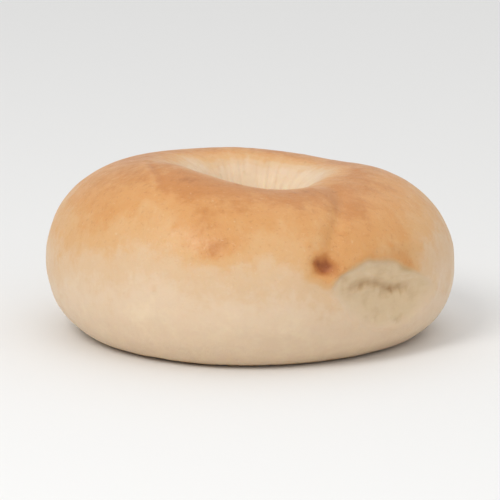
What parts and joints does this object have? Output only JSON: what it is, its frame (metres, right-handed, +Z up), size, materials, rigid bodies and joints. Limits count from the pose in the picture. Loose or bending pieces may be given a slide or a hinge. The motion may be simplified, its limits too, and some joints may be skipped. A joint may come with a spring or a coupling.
{
  "type": "bagel",
  "caption": "Plain bagel: a baked ring of bread with a small off-centre hole, golden crust, paler sides and a flat underside that it rests on.",
  "frame": {"origin": "on the surface that the bagel rests on, at the middle of its outline seen from above", "axes": "+Z up, through the hole; -Y is the front, the side with the lap and the pale flat to its right; +X to the right of someone looking at the front"},
  "size_m": [0.1058, 0.1046, 0.0462],
  "materials": {
    "crust": "satin"
  },
  "bodies": {
    "root": {"bagel": "crust"}
  },
  "joints": []
}
